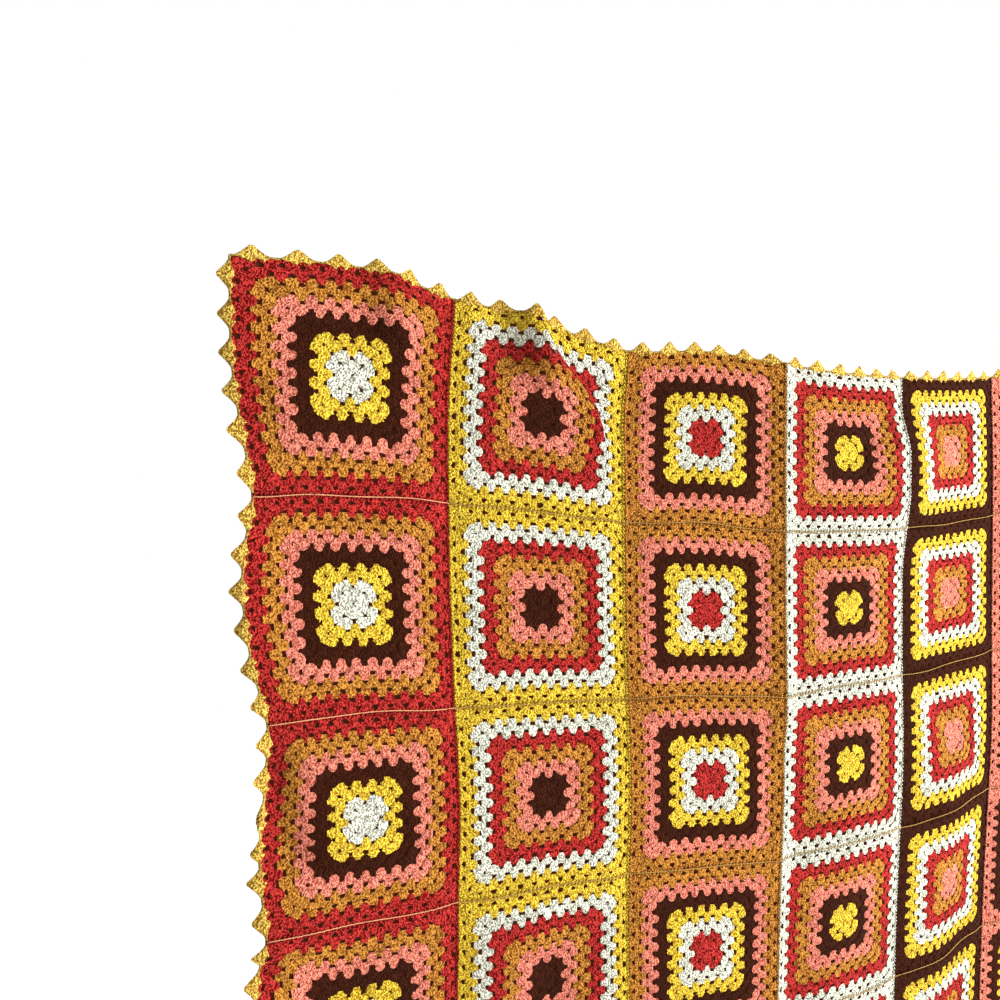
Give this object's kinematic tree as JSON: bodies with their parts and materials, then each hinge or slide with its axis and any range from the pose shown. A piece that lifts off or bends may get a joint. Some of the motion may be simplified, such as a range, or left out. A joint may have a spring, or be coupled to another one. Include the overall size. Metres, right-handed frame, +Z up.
{
  "type": "granny square blanket",
  "caption": "Hung crocheted blanket of banded granny squares with a pointed shell edging.",
  "frame": {"origin": "middle of the top edge, where the blanket is held up", "axes": "+X to the right along the top edge, +Y away from the viewer of the front, +Z up"},
  "size_m": [1.6184, 0.1062, 1.6469],
  "materials": {
    "yarn_red": "matt wool-like yarn",
    "yarn_yellow": "matt wool-like yarn",
    "yarn_mustard": "matt wool-like yarn",
    "yarn_white": "matt wool-like yarn",
    "yarn_brown": "matt wool-like yarn",
    "yarn_pink": "matt wool-like yarn",
    "yarn_gold": "matt wool-like yarn"
  },
  "bodies": {
    "root": {"square_c1_r1": "yarn_red", "square_c1_r2": "yarn_red", "square_c1_r3": "yarn_red", "square_c1_r4": "yarn_red", "square_c1_r5": "yarn_red", "square_c1_r6": "yarn_red", "square_c2_r1": "yarn_yellow", "square_c2_r2": "yarn_yellow", "square_c2_r3": "yarn_yellow", "square_c2_r4": "yarn_yellow", "square_c2_r5": "yarn_yellow", "square_c2_r6": "yarn_yellow", "square_c3_r1": "yarn_mustard", "square_c3_r2": "yarn_mustard", "square_c3_r3": "yarn_mustard", "square_c3_r4": "yarn_mustard", "square_c3_r5": "yarn_mustard", "square_c3_r6": "yarn_mustard", "square_c4_r1": "yarn_white", "square_c4_r2": "yarn_white", "square_c4_r3": "yarn_white", "square_c4_r4": "yarn_white", "square_c4_r5": "yarn_white", "square_c4_r6": "yarn_white", "square_c5_r1": "yarn_brown", "square_c5_r2": "yarn_brown", "square_c5_r3": "yarn_brown", "square_c5_r4": "yarn_brown", "square_c5_r5": "yarn_brown", "square_c5_r6": "yarn_brown", "square_c6_r1": "yarn_pink", "square_c6_r2": "yarn_pink", "square_c6_r3": "yarn_pink", "square_c6_r4": "yarn_pink", "square_c6_r5": "yarn_pink", "square_c6_r6": "yarn_pink", "edging_top": "yarn_gold", "edging_right": "yarn_gold", "edging_bottom": "yarn_gold", "edging_left": "yarn_gold"}
  },
  "joints": []
}
